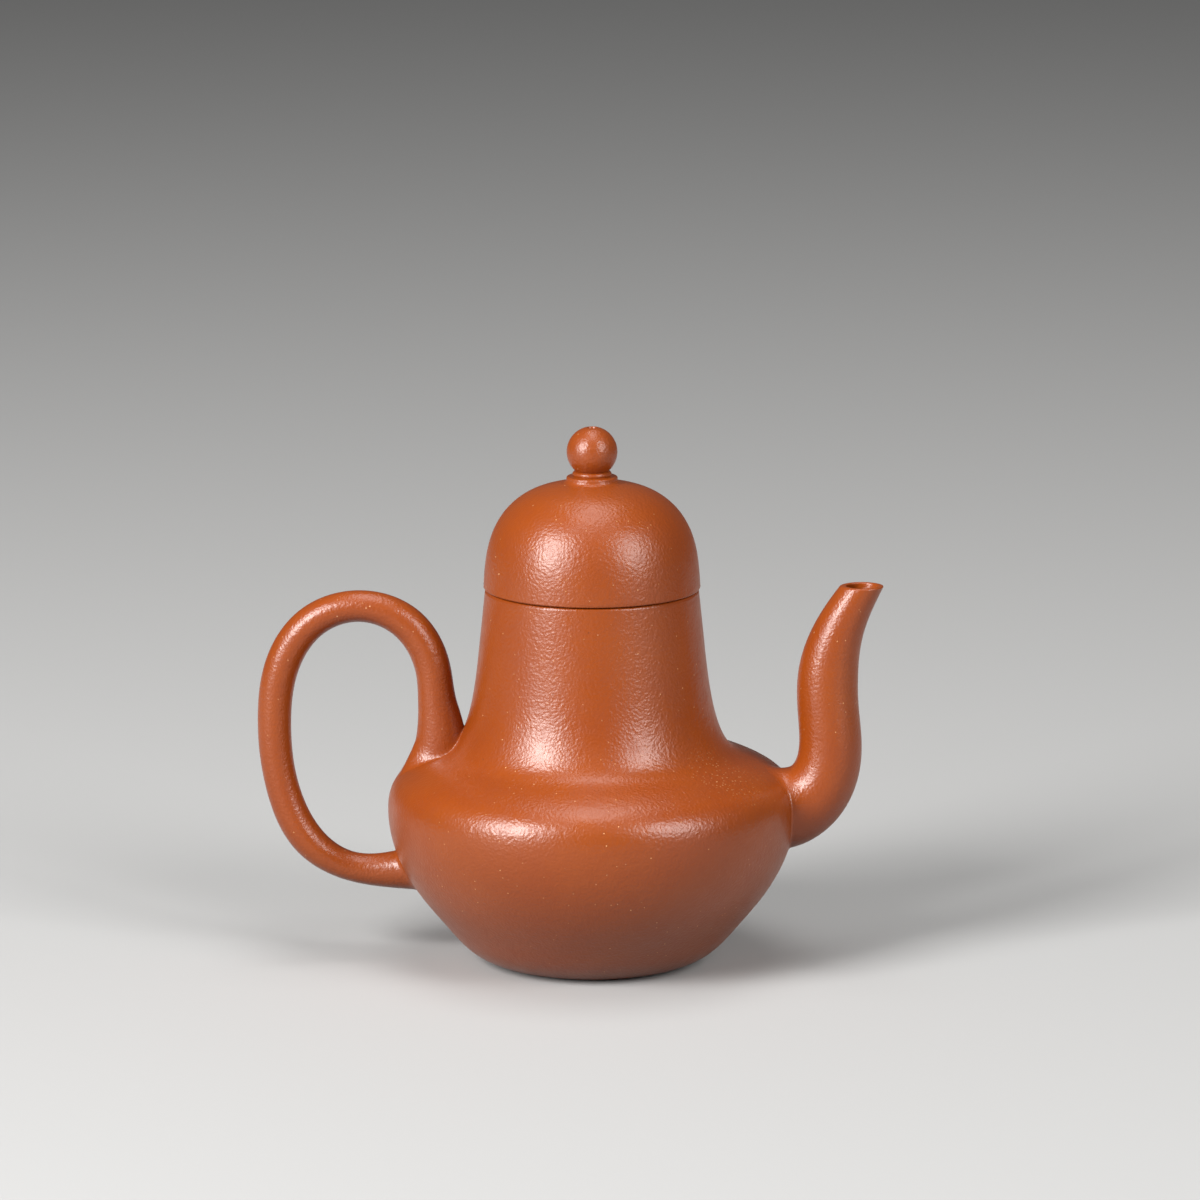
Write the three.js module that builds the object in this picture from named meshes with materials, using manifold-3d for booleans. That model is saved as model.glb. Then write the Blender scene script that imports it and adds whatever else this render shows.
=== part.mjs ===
// A small red clay teapot: low round belly, tall narrowing neck, domed lid as wide as the rim, ball knob,
// spout with a bend at its root and another at its tip, and a round loop handle opposite the spout.
// It is made of the clay pieces that a potter joins. Base plate, belly, shoulder, neck, strainer, spout and
// handle make the pot. Dome, plate, flange, collar and knob make the lid, which lifts off and turns.
// Millimetres. Z is up, the spout points along +X, and the origin is the centre of the underside.
import * as THREE from "three";
import { mergeVertices } from "three/addons/utils/BufferGeometryUtils.js";
import Module from "manifold-3d";

const wasm = await Module();
wasm.setup();

// Driving dimensions
const WALL = 2.5;
const LUTE_GAP = 0.3; // between a curved wall and the root of what is luted to it
const EDGE_ROUND = 0.35;
const BASE_THICKNESS = 2.6;
const SHOULDER_BOTTOM = 35.0;
const NECK_BOTTOM = 39.8;
const RIM_HEIGHT = 67.0;
const RIM_RADIUS = 18.85;
const NECK_BORE_RADIUS = 15.9;
const NECK_BORE_DEPTH = 10;
const LID_RADIUS = 19.15;
const LID_PLATE_THICKNESS = 2.2;
const LID_PLATE_DRAFT = 0.1;
const FLANGE_CLEARANCE = 0.25;
const FLANGE_DEPTH = 8;
const FLANGE_WALL = 2.2;
const STEAM_HOLE_RADIUS = 0.8;
const COLLAR_BOTTOM = 86.3;
const COLLAR_STEP = 87.15;
const COLLAR_TOP = 88.2;
const COLLAR_RADIUS = 4.5;
const COLLAR_STEP_RADIUS = 3.7;
const KNOB_CENTRE = 91.5;
const KNOB_RADIUS = 4.47;
const KNOB_TOP_FLAT_RADIUS = 1.2;
const BORE_HEIGHT = 27.9; // of the hole through the belly behind the spout
const BORE_RADIUS = 4.6;
const STRAINER_REACH = 5; // from the belly's widest radius in to where the strainer starts to round over
const STRAINER_RADIUS = 7.2;
const STRAINER_RISE = 4.2;
const STRAINER_WALL = 1.5;
const STRAINER_HOLE_RADIUS = 0.75;
const STRAINER_HOLE_RING = 3.1;
const STRAINER_SKIRT = 8; // how far the cap is drawn on towards the wall before the wall trims it
const CUT_FROM = 20; // cuts through the belly's side run between these two distances from the axis
const CUT_TO = 50;
const SPOUT_WALL = 1.4;
const SPOUT_MOUTH_HEIGHT = 68.1;

// Outlines of the pot and the lid, as [radius, height] from the bottom up.
const BELLY_WIDEST = 36.2;
const POT_OUTLINE = [
  [16.5, 0],
  [18.8, 0.65],
  [21.6, 2.1],
  [26.1, 6.7],
  [31.0, 12.7],
  [34.3, 18.5],
  [BELLY_WIDEST, 26.7],
  [35.4, 31.5],
  [34.0, 33.3],
  [31.6, 34.9],
  [28.1, 36.45],
  [25.1, 37.95],
  [23.65, 39.75],
  [22.75, 41.6],
  [21.8, 44.5],
  [20.8, 49.5],
  [19.75, 58],
  [RIM_RADIUS, RIM_HEIGHT],
];
const LID_OUTLINE = [
  [LID_RADIUS, RIM_HEIGHT],
  [18.8, 71.7],
  [17.6, 76.9],
  [15.1, 81.1],
  [10.9, 84.3],
  [COLLAR_RADIUS - 0.4, COLLAR_BOTTOM - 0.1],
];

// Limbs as [x, z, half width in the limb's own plane, half depth across it], from the root on.
const SPOUT_LINE = [
  [28.6, 27.3, 7.4, 7.1],
  [35.6, 28.25, 7.1, 6.4],
  [39.75, 31.15, 6.2, 6.1],
  [42.0, 36.25, 5.7, 5.8],
  [41.85, 45.65, 5.45, 5.45],
  [41.85, 52.65, 5.3, 5.0],
  [44.1, 61.05, 4.25, 4.3],
  [49.6, 70.7, 2.9, 3.2],
];
const HANDLE_LINE = [
  [-28.7, 28.6, 7.25, 3.9],
  [-27.1, 35.95, 5.1, 3.8],
  [-27.05, 42.65, 3.95, 3.65],
  [-27.55, 46.45, 3.4, 3.5],
  [-28.25, 52.15, 3.15, 3.4],
  [-32.55, 60.05, 3.1, 3.25],
  [-40.75, 63.3, 2.8, 3.2],
  [-49.55, 60.5, 2.95, 3.2],
  [-54.75, 53.35, 3.05, 3.2],
  [-56.55, 42.25, 2.95, 3.15],
  [-54.8, 28.9, 2.95, 3.1],
  [-50.15, 20.2, 2.9, 3.1],
  [-43.55, 16.15, 2.6, 2.85],
  [-36.55, 15.45, 3.15, 3.2],
  [-29.1, 16.2, 4.4, 4.2],
];

// Fineness
const ROUND_SEGMENTS = 48;
const SMALL_SEGMENTS = 24;
const TINY_SEGMENTS = 8;
const SPOUT_FACETS = { sides: 20, steps: 20 };
const SPOUT_BORE_FACETS = { sides: 12, steps: 20 };
const HANDLE_FACETS = { sides: 14, steps: 42 };

// Clay finishes
const clay = (color) => new THREE.MeshStandardMaterial({ color, roughness: 0.42, metalness: 0 });
const POT_CLAY = clay(0xa8481c);
const LID_CLAY = clay(0xad4c1f);
const INSIDE_CLAY = clay(0x9a431d);

const point = (r, z) => new THREE.Vector2(r, z);

function smoothOutline(rows, steps) {
  return new THREE.SplineCurve(rows.map(([r, z]) => point(r, z))).getPoints(steps);
}

// Moves an outline to the left of its direction of travel, which is inwards on one drawn from the bottom up.
function offsetOutline(points, distance) {
  return points.map((at, i) => {
    const before = points[Math.max(i - 1, 0)];
    const after = points[Math.min(i + 1, points.length - 1)];
    const along = after.clone().sub(before).normalize();
    return point(at.x - along.y * distance, at.y + along.x * distance);
  });
}

// The stretch of an outline between two heights, with a point of its own at each height.
function outlineBetween(points, low, high) {
  const at = (height) => {
    const i = points.findIndex((p) => p.y >= height);
    if (i <= 0) return points[Math.max(i, 0)].clone();
    const share = (height - points[i - 1].y) / (points[i].y - points[i - 1].y);
    return points[i - 1].clone().lerp(points[i], share);
  };
  const margin = 0.1; // no point so close to an end that it makes a sliver
  const between = points.filter((p) => p.y > low + margin && p.y < high - margin);
  return [at(low), ...between, at(high)];
}

// A solid of revolution about Z from a profile that starts and ends on the axis.
function revolve(profile, segments = ROUND_SEGMENTS) {
  return new THREE.LatheGeometry(profile, segments).rotateX(Math.PI / 2);
}

// A ring from a profile that is walked up its outside and down its inside, and is closed here.
function revolveRing(profile, segments = ROUND_SEGMENTS) {
  return revolve([...profile, profile[0].clone()], segments);
}

function solidOf(geometry) {
  const bare = geometry.clone();
  bare.deleteAttribute("normal");
  bare.deleteAttribute("uv");
  const merged = mergeVertices(bare);
  return new wasm.Manifold(
    new wasm.Mesh({
      numProp: 3,
      vertProperties: merged.attributes.position.array,
      triVerts: new Uint32Array(merged.index.array),
    }),
  );
}

function geometryOf(solid) {
  const { vertProperties, triVerts } = solid.getMesh();
  const geometry = new THREE.BufferGeometry();
  geometry.setAttribute("position", new THREE.BufferAttribute(vertProperties, 3));
  geometry.setIndex(new THREE.BufferAttribute(triVerts, 1));
  geometry.computeVertexNormals();
  return geometry;
}

// A rod along X or Z between two places on that axis.
function rodAlongX(radius, from, to, y, z, segments) {
  const rod = new THREE.CylinderGeometry(radius, radius, to - from, segments);
  return solidOf(rod.rotateZ(Math.PI / 2).translate((from + to) / 2, y, z));
}

function rodAlongZ(radius, from, to, segments) {
  const rod = new THREE.CylinderGeometry(radius, radius, to - from, segments);
  return solidOf(rod.rotateX(Math.PI / 2).translate(0, 0, (from + to) / 2));
}

// Oval sections swept along a centre line in the XZ plane. Thinner takes the same off every section.
function limb(line, { sides, steps }, thinner = 0) {
  const centre = new THREE.CatmullRomCurve3(line.map(([x, z]) => new THREE.Vector3(x, 0, z)));
  const sizes = new THREE.CatmullRomCurve3(line.map(([, , w, d]) => new THREE.Vector3(w, d, 0)));
  const positions = [];
  const faces = [];
  for (let i = 0; i <= steps; i++) {
    const at = centre.getPoint(i / steps);
    const along = centre.getTangent(i / steps);
    const size = sizes.getPoint(i / steps);
    for (let j = 0; j < sides; j++) {
      const turn = (2 * Math.PI * j) / sides;
      const wide = (size.x - thinner) * Math.cos(turn);
      const deep = (size.y - thinner) * Math.sin(turn);
      positions.push(at.x + along.z * wide, deep, at.z - along.x * wide);
    }
  }
  for (let i = 0; i < steps; i++) {
    for (let j = 0; j < sides; j++) {
      const a = i * sides + j;
      const b = i * sides + ((j + 1) % sides);
      faces.push(a, b, b + sides, a, b + sides, a + sides);
    }
  }
  const last = steps * sides;
  for (let j = 1; j < sides - 1; j++) {
    faces.push(0, j + 1, j, last, last + j, last + j + 1);
  }
  const geometry = new THREE.BufferGeometry();
  geometry.setAttribute("position", new THREE.Float32BufferAttribute(positions, 3));
  geometry.setIndex(faces);
  return solidOf(geometry);
}

const potOutside = smoothOutline(POT_OUTLINE, 2 * (POT_OUTLINE.length - 1));
const potInside = offsetOutline(potOutside, WALL);
const flangeOuter = NECK_BORE_RADIUS - FLANGE_CLEARANCE;
const flangeInner = flangeOuter - FLANGE_WALL;
const strainerFoot = BELLY_WIDEST - STRAINER_REACH;

// The pot's outside as one full solid, grown by the gap, for trimming what is luted to it.
function potEnvelope() {
  const skin = offsetOutline(potOutside, -LUTE_GAP);
  const underside = point(0, skin[0].y);
  const top = point(0, skin[skin.length - 1].y);
  return solidOf(revolve([underside, ...skin, top]));
}

// A flat disc with a rounded edge, which the belly stands on.
function basePlate() {
  const edge = outlineBetween(potOutside, 0, BASE_THICKNESS);
  return revolve([point(0, 0), ...edge, point(0, BASE_THICKNESS)]);
}

// A stretch of the pot's wall between two heights.
function wallRing(low, high) {
  const outside = outlineBetween(potOutside, low, high);
  const inside = outlineBetween(potInside, low, high);
  return revolveRing([...outside, ...inside.reverse()]);
}

// The belly's wall, with one round hole behind the spout.
function belly() {
  const hole = rodAlongX(BORE_RADIUS, CUT_FROM, CUT_TO, 0, BORE_HEIGHT, SMALL_SEGMENTS);
  return geometryOf(solidOf(wallRing(BASE_THICKNESS, SHOULDER_BOTTOM)).subtract(hole));
}

// The neck narrows upwards outside. Inside it ends in a straight bore that takes the lid's flange.
function neck() {
  const boreBottom = RIM_HEIGHT - NECK_BORE_DEPTH;
  const outside = outlineBetween(potOutside, NECK_BOTTOM, RIM_HEIGHT - EDGE_ROUND);
  const inside = outlineBetween(potInside, NECK_BOTTOM, boreBottom - WALL);
  const rim = [
    point(RIM_RADIUS - EDGE_ROUND, RIM_HEIGHT),
    point(NECK_BORE_RADIUS + EDGE_ROUND, RIM_HEIGHT),
    point(NECK_BORE_RADIUS, RIM_HEIGHT - EDGE_ROUND),
    point(NECK_BORE_RADIUS, boreBottom),
  ];
  return revolveRing([...outside, ...rim, ...inside.reverse()]);
}

// A pierced cap inside the belly, round the hole behind the spout, that keeps the leaves back.
function strainer() {
  const cap = (radius, rise) => {
    const profile = [point(0, -STRAINER_SKIRT), point(radius, -STRAINER_SKIRT)];
    const steps = 6;
    for (let i = 0; i < steps; i++) {
      const lift = (Math.PI / 2) * (i / steps);
      profile.push(point(radius * Math.cos(lift), rise * Math.sin(lift)));
    }
    profile.push(point(0, rise));
    const geometry = new THREE.LatheGeometry(profile, SMALL_SEGMENTS);
    return solidOf(geometry.rotateZ(Math.PI / 2).translate(strainerFoot, 0, BORE_HEIGHT));
  };
  const room = offsetOutline(potOutside, WALL + LUTE_GAP);
  const inTheBelly = solidOf(revolve([point(0, room[0].y), ...room, point(0, RIM_HEIGHT)]));
  const hole = (y, up) =>
    rodAlongX(STRAINER_HOLE_RADIUS, CUT_FROM, strainerFoot, y, BORE_HEIGHT + up, TINY_SEGMENTS);
  let made = cap(STRAINER_RADIUS, STRAINER_RISE)
    .subtract(cap(STRAINER_RADIUS - STRAINER_WALL, STRAINER_RISE - STRAINER_WALL))
    .intersect(inTheBelly)
    .subtract(hole(0, 0));
  for (let i = 0; i < 6; i++) {
    const turn = (Math.PI / 3) * i;
    const y = STRAINER_HOLE_RING * Math.sin(turn);
    made = made.subtract(hole(y, STRAINER_HOLE_RING * Math.cos(turn)));
  }
  return geometryOf(made);
}

// A tapering tube that bends up from its root and is cut level at its mouth.
function spout() {
  const aboveTheMouth = rodAlongZ(90, SPOUT_MOUTH_HEIGHT, SPOUT_MOUTH_HEIGHT + 20, SMALL_SEGMENTS);
  return geometryOf(
    limb(SPOUT_LINE, SPOUT_FACETS)
      .subtract(limb(SPOUT_LINE, SPOUT_BORE_FACETS, SPOUT_WALL))
      .subtract(potEnvelope())
      .subtract(aboveTheMouth),
  );
}

function handle() {
  return geometryOf(limb(HANDLE_LINE, HANDLE_FACETS).subtract(potEnvelope()));
}

// The level ring that closes the dome below and lies on the rim, with the lid's lower edge rounded.
function lidPlate() {
  return revolveRing([
    point(LID_RADIUS - EDGE_ROUND, RIM_HEIGHT),
    point(LID_RADIUS, RIM_HEIGHT + EDGE_ROUND),
    point(LID_RADIUS - LID_PLATE_DRAFT, RIM_HEIGHT + LID_PLATE_THICKNESS),
    point(flangeInner, RIM_HEIGHT + LID_PLATE_THICKNESS),
    point(flangeInner, RIM_HEIGHT),
  ]);
}

function lidDome() {
  const low = RIM_HEIGHT + LID_PLATE_THICKNESS;
  const whole = smoothOutline(LID_OUTLINE, 14);
  const crown = COLLAR_BOTTOM - 0.1;
  const outside = outlineBetween(whole, low, crown);
  outside[0].x = LID_RADIUS - LID_PLATE_DRAFT;
  const inner = offsetOutline(whole, WALL);
  const inside = outlineBetween(inner, low, crown - WALL - 0.3);
  return revolveRing([
    ...outside,
    point(COLLAR_RADIUS - 0.6, COLLAR_BOTTOM),
    point(STEAM_HOLE_RADIUS, COLLAR_BOTTOM),
    point(STEAM_HOLE_RADIUS, crown - WALL),
    ...inside.reverse(),
  ]);
}

// The ring under the lid's plate that keeps the lid centred in the neck.
function lidFlange() {
  const bottom = RIM_HEIGHT - FLANGE_DEPTH;
  const taper = 0.2;
  return revolveRing([
    point(flangeOuter - EDGE_ROUND, bottom),
    point(flangeOuter, bottom + 2 * EDGE_ROUND),
    point(flangeOuter, RIM_HEIGHT),
    point(flangeInner, RIM_HEIGHT),
    point(flangeInner + taper, bottom + EDGE_ROUND),
    point(flangeInner + taper + EDGE_ROUND, bottom),
  ]);
}

// Two small steps under the knob.
function knobCollar() {
  const soften = 0.3;
  return revolveRing(
    [
      point(COLLAR_RADIUS - soften, COLLAR_BOTTOM),
      point(COLLAR_RADIUS, COLLAR_BOTTOM + soften),
      point(COLLAR_RADIUS, COLLAR_STEP - soften),
      point(COLLAR_RADIUS - soften, COLLAR_STEP),
      point(COLLAR_STEP_RADIUS, COLLAR_STEP),
      point(COLLAR_STEP_RADIUS, COLLAR_TOP - soften),
      point(COLLAR_STEP_RADIUS - soften, COLLAR_TOP),
      point(STEAM_HOLE_RADIUS, COLLAR_TOP),
      point(STEAM_HOLE_RADIUS, COLLAR_BOTTOM),
    ],
    SMALL_SEGMENTS,
  );
}

// A ball with the steam hole down its middle, flat where it stands and where the hole comes out.
function knob() {
  const low = Math.asin((COLLAR_TOP - KNOB_CENTRE) / KNOB_RADIUS);
  const high = Math.acos(KNOB_TOP_FLAT_RADIUS / KNOB_RADIUS);
  const steps = 11;
  const profile = [];
  for (let i = 0; i <= steps; i++) {
    const lift = low + ((high - low) * i) / steps;
    profile.push(point(KNOB_RADIUS * Math.cos(lift), KNOB_CENTRE + KNOB_RADIUS * Math.sin(lift)));
  }
  const mouth = profile[steps].y;
  return revolveRing(
    [...profile, point(STEAM_HOLE_RADIUS, mouth), point(STEAM_HOLE_RADIUS, profile[0].y)],
    SMALL_SEGMENTS,
  );
}

function assemble(pieces) {
  const group = new THREE.Group();
  for (const [name, geometry, material] of pieces) {
    const mesh = new THREE.Mesh(geometry, material);
    mesh.name = name;
    group.add(mesh);
  }
  return group;
}

const pot = assemble([
  ["base_plate", basePlate(), POT_CLAY],
  ["belly", belly(), POT_CLAY],
  ["shoulder", wallRing(SHOULDER_BOTTOM, NECK_BOTTOM), POT_CLAY],
  ["neck", neck(), POT_CLAY],
  ["strainer", strainer(), INSIDE_CLAY],
  ["spout", spout(), POT_CLAY],
  ["handle", handle(), POT_CLAY],
]);
const lid = assemble([
  ["lid_flange", lidFlange(), INSIDE_CLAY],
  ["lid_plate", lidPlate(), LID_CLAY],
  ["lid_dome", lidDome(), LID_CLAY],
  ["knob_collar", knobCollar(), LID_CLAY],
  ["knob", knob(), LID_CLAY],
]);
const teapot = new THREE.Group();
teapot.add(pot, lid);

export default teapot;
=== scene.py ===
"""A small red clay teapot on a pale floor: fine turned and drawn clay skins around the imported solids."""

import math

import bpy
import numpy as np
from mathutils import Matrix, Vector


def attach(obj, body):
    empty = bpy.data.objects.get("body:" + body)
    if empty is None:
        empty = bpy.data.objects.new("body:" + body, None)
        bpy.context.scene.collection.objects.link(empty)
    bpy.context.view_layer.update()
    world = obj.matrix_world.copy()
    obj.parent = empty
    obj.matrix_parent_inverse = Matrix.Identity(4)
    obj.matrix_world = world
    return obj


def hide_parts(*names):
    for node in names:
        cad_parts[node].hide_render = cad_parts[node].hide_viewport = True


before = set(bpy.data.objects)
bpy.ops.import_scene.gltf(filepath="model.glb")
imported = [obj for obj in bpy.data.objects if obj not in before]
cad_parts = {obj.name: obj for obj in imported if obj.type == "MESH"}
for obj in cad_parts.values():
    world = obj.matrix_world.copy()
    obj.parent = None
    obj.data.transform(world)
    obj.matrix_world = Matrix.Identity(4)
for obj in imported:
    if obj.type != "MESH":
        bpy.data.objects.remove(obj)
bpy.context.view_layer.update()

bl_info = {
    "name": "Clay Teapot",
    "version": (1, 0, 0),
    "blender": (4, 5, 0),
    "location": "View3D > Sidebar > Teapot",
    "description": "Builds a small unglazed clay teapot with a lid that lifts off and turns",
    "category": "Add Mesh",
}

MM = 0.001

# Outlines of the pot and the lid, as [radius, height] in millimetres from the bottom up.
BASE_THICKNESS = 2.6
SHOULDER_BOTTOM = 35.0
NECK_BOTTOM = 39.8
RIM_HEIGHT = 67.0
RIM_RADIUS = 18.85
LID_RADIUS = 19.15
BELLY_WIDEST = 36.2
POT_OUTLINE = [
    [16.5, 0.0],
    [18.8, 0.65],
    [21.6, 2.1],
    [26.1, 6.7],
    [31.0, 12.7],
    [34.3, 18.5],
    [BELLY_WIDEST, 26.7],
    [35.4, 31.5],
    [34.0, 33.3],
    [31.6, 34.9],
    [28.1, 36.45],
    [25.1, 37.95],
    [23.65, 39.75],
    [22.75, 41.6],
    [21.8, 44.5],
    [20.8, 49.5],
    [19.75, 58.0],
    [RIM_RADIUS, RIM_HEIGHT],
]
COLLAR_BOTTOM = 86.3
COLLAR_STEP = 87.15
COLLAR_TOP = 88.2
COLLAR_RADIUS = 4.5
COLLAR_STEP_RADIUS = 3.45
LID_OUTLINE = [
    [LID_RADIUS, RIM_HEIGHT],
    [18.8, 71.7],
    [17.6, 76.9],
    [15.1, 81.1],
    [10.9, 84.3],
    [COLLAR_RADIUS - 0.4, COLLAR_BOTTOM - 0.1],
]
COLLAR_FOOT = 0.8
KNOB_CENTRE = 91.5
KNOB_RADIUS = 4.47
KNOB_FLAT_ANGLE = 74.4
NECK_BORE_DEPTH = 10
PLATE_THICKNESS = 2.2
SEAM_DEPTH = 1.6
FLANGE_DEPTH = 8
FLANGE_DRAFT = 0.2
TURNING_PLAY = 0.02

# The hole behind the spout and the strainer that covers it: one hole in its middle and a ring of holes
BORE_HEIGHT = 27.9
BORE_RADIUS = 4.6
STRAINER_FOOT = BELLY_WIDEST - 5
STRAINER_RADIUS = 7.2
STRAINER_RISE = 4.2
STRAINER_WALL = 1.5
STRAINER_HOLE = 0.75
STRAINER_RING = 3.1
STRAINER_RING_HOLES = 6

# Limbs as [x, z, half width in their own plane, half depth across it] in millimetres, from the root on.
SPOUT_LINE = [
    [28.6, 27.3, 7.4, 7.1],
    [35.6, 28.25, 7.1, 6.4],
    [39.75, 31.15, 6.2, 6.1],
    [42.0, 36.25, 5.7, 5.8],
    [41.85, 45.65, 5.45, 5.45],
    [41.85, 52.65, 5.3, 5.0],
    [44.1, 61.05, 4.25, 4.3],
    [49.6, 70.7, 2.9, 3.2],
]
HANDLE_LINE = [
    [-28.7, 28.6, 7.25, 3.9],
    [-27.1, 35.95, 5.1, 3.8],
    [-27.05, 42.65, 3.95, 3.65],
    [-27.55, 46.45, 3.4, 3.5],
    [-28.25, 52.15, 3.15, 3.4],
    [-32.55, 60.05, 3.1, 3.25],
    [-40.75, 63.3, 2.8, 3.2],
    [-49.55, 60.5, 2.95, 3.2],
    [-54.75, 53.35, 3.05, 3.2],
    [-56.55, 42.25, 2.95, 3.15],
    [-54.8, 28.9, 2.95, 3.1],
    [-50.15, 20.2, 2.9, 3.1],
    [-43.55, 16.15, 2.6, 2.85],
    [-36.55, 15.45, 3.15, 3.2],
    [-29.1, 16.2, 4.4, 4.2],
]
BURIED = 1.2
MOUTH_HEIGHT = 68.1
MOUTH_LIP = 0.35
SPOUT_WALL = 1.45
SPOUT_TAPER = 0.4

# The photograph's view: from the front, a little towards the spout's side and a little above the pot.
VIEW_DISTANCE = 1.2
VIEW_PITCH = math.radians(11.25)
VIEW_TURN = math.radians(3.5)
VIEW_TARGET = Vector((0.0014, 0.0001, 0.0649))
VIEW_LENS = 203.85

# Soft lights in metres round the middle of the pot, as (angle from the front, angle up, size, brightness).
SOFTBOX_DISTANCE = 1.2
POT_MIDDLE = 0.05
SOFTBOXES = {
    "left_box": (-45, 27, (0.46, 0.76), 22),
    "right_box": (52, 29, (0.43, 0.7), 10.5),
    "top_box": (0, 89, (0.5, 1.0), 3.8),
}

# Half the floor's width in millimetres
FLOOR_HALF = 3000

# Each clay's roughness and the depth of its skin in metres, and where sand has gathered near the spout
FINISHES = {"pot_clay": (0.34, 0.0001), "lid_clay": (0.36, 0.00011), "inside_clay": (0.6, 0.0001)}
SANDY_SPOT = (0.0244, -0.0142, 0.0364)
SANDY_REACH = 0.009

# How fine the clay's marks are, as the scale of a noise or of scattered points
CLOUDS = 55
MOTTLE = 420
SAND_PATCHES = 45
LOOSE_SAND = 560
DENSE_SAND = 1400
PITS = 230
SKIN = 2100
WRINKLES = 1050
SWELLS = 300

# The hand's slow waves in millimetres, and the height over which they fade out towards the flat underside
WAVE_LENGTHS = (46, 38, 31, 25, 21, 17, 14, 12)
CALM_HEIGHT = 4

# Fineness of the turned and drawn meshes
TURN_SIDES = 192
KNOB_SIDES = 128
LIMB_SIDES = 96
STRAINER_SIDES = 64


class Spline:
    """A smooth curve through rows of numbers, with even curvature from one row to the next."""

    def __init__(self, rows):
        self.rows = np.array(rows, float)
        steps = np.linalg.norm(np.diff(self.rows[:, :2], axis=0), axis=1)
        self.at = np.concatenate([[0.0], np.cumsum(steps)])
        self.length = self.at[-1]
        self.bend = self._bends(steps)

    def _bends(self, steps):
        """Second slopes that make the curve even, and straight at both ends."""
        count = len(self.rows)
        matrix = np.eye(count)
        right = np.zeros_like(self.rows)
        slopes = np.diff(self.rows, axis=0) / steps[:, None]
        for i in range(1, count - 1):
            matrix[i, i - 1] = steps[i - 1]
            matrix[i, i] = 2 * (steps[i - 1] + steps[i])
            matrix[i, i + 1] = steps[i]
            right[i] = 6 * (slopes[i] - slopes[i - 1])
        return np.linalg.solve(matrix, right)

    def _piece(self, share):
        along = np.clip(np.asarray(share, float), 0, 1) * self.length
        i = np.clip(np.searchsorted(self.at, along, side="right") - 1, 0, len(self.at) - 2)
        step = self.at[i + 1] - self.at[i]
        return i, (along - self.at[i])[..., None], step[..., None]

    def __call__(self, share):
        """Points on the curve at shares of its length."""
        i, x, h = self._piece(share)
        a, b = self.rows[i], self.rows[i + 1]
        m, n = self.bend[i], self.bend[i + 1]
        slope = (b - a) / h - h * (2 * m + n) / 6
        return a + slope * x + m * x ** 2 / 2 + (n - m) * x ** 3 / (6 * h)

    def direction(self, share):
        """The curve's direction there, in its first two columns."""
        i, x, h = self._piece(share)
        a, b = self.rows[i], self.rows[i + 1]
        m, n = self.bend[i], self.bend[i + 1]
        slope = (b - a) / h - h * (2 * m + n) / 6
        return unit((slope + m * x + (n - m) * x ** 2 / (2 * h))[..., :2])


POT_SKIN = Spline(POT_OUTLINE)(np.linspace(0, 1, 420))
LID_SKIN = Spline(LID_OUTLINE)(np.linspace(0, 1, 200))


def unit(vectors):
    """Vectors made one long."""
    return vectors / np.maximum(np.linalg.norm(vectors, axis=-1, keepdims=True), 1e-9)


def between(skin, low, high):
    """The stretch of an outline between two heights, with a point of its own at each."""
    inside = (skin[:, 1] > low + 0.01) & (skin[:, 1] < high - 0.01)
    ends = [[np.interp(h, skin[:, 1], skin[:, 0]), h] for h in (low, high)]
    return np.vstack([ends[:1], skin[inside], ends[1:]])


def moved_in(skin, distance):
    """An outline drawn from the bottom up, moved in from its surface."""
    along = unit(np.gradient(skin, axis=0))
    return skin + np.column_stack([-along[:, 1], along[:, 0]]) * distance


def corner(centre, radius, start, end, steps=6):
    """An arc of a rounded edge, in degrees from the outward direction."""
    turn = np.radians(np.linspace(start, end, steps))
    return np.column_stack([centre[0] + radius * np.cos(turn), centre[1] + radius * np.sin(turn)])


def hand_waves():
    """The slow unevenness that a hand leaves in the clay, as waves through space."""
    draw = np.random.RandomState(11)
    waves = []
    for length in WAVE_LENGTHS:
        way = draw.normal(size=3)
        way *= 2 * np.pi / length / np.linalg.norm(way)
        waves.append((way, draw.uniform(0, 2 * np.pi), length / WAVE_LENGTHS[0]))
    return waves


WAVES = hand_waves()


def unevenness(points, depth):
    """How far each point stands proud, and how that changes through space, in millimetres."""
    height = np.zeros(len(points))
    slope = np.zeros((len(points), 3))
    for way, start, weight in WAVES:
        phase = points @ way + start
        height += depth * weight * np.sin(phase)
        slope += depth * weight * np.cos(phase)[:, None] * way
    return height, slope


def gap_to_pot(points):
    """Signed distance in millimetres from each point to the pot's outer surface, positive outside."""
    flat = points.reshape(-1, 3)
    spot = np.column_stack([np.hypot(flat[:, 0], flat[:, 1]), flat[:, 2]])
    a, b = POT_SKIN[:-1], POT_SKIN[1:]
    along = b - a
    found = np.full(len(spot), np.inf)
    for start in range(0, len(spot), 4000):
        part = spot[start:start + 4000, None, :]
        share = np.clip(((part - a) * along).sum(-1) / (along ** 2).sum(-1), 0, 1)
        away = np.linalg.norm(part - (a + along * share[..., None]), axis=-1)
        found[start:start + 4000] = away.min(axis=1)
    outside = spot[:, 0] > np.interp(spot[:, 1], POT_SKIN[:, 1], POT_SKIN[:, 0])
    return np.where(outside, found, -found).reshape(points.shape[:-1])


def make_object(name, vertices, faces):
    """A mesh from vertices in millimetres and their faces."""
    mesh = bpy.data.meshes.new(name)
    mesh.from_pydata((np.asarray(vertices) * MM).tolist(), [], faces)
    mesh.validate()
    mesh.update()
    made = bpy.data.objects.new(name, mesh)
    bpy.context.scene.collection.objects.link(made)
    return made


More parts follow.
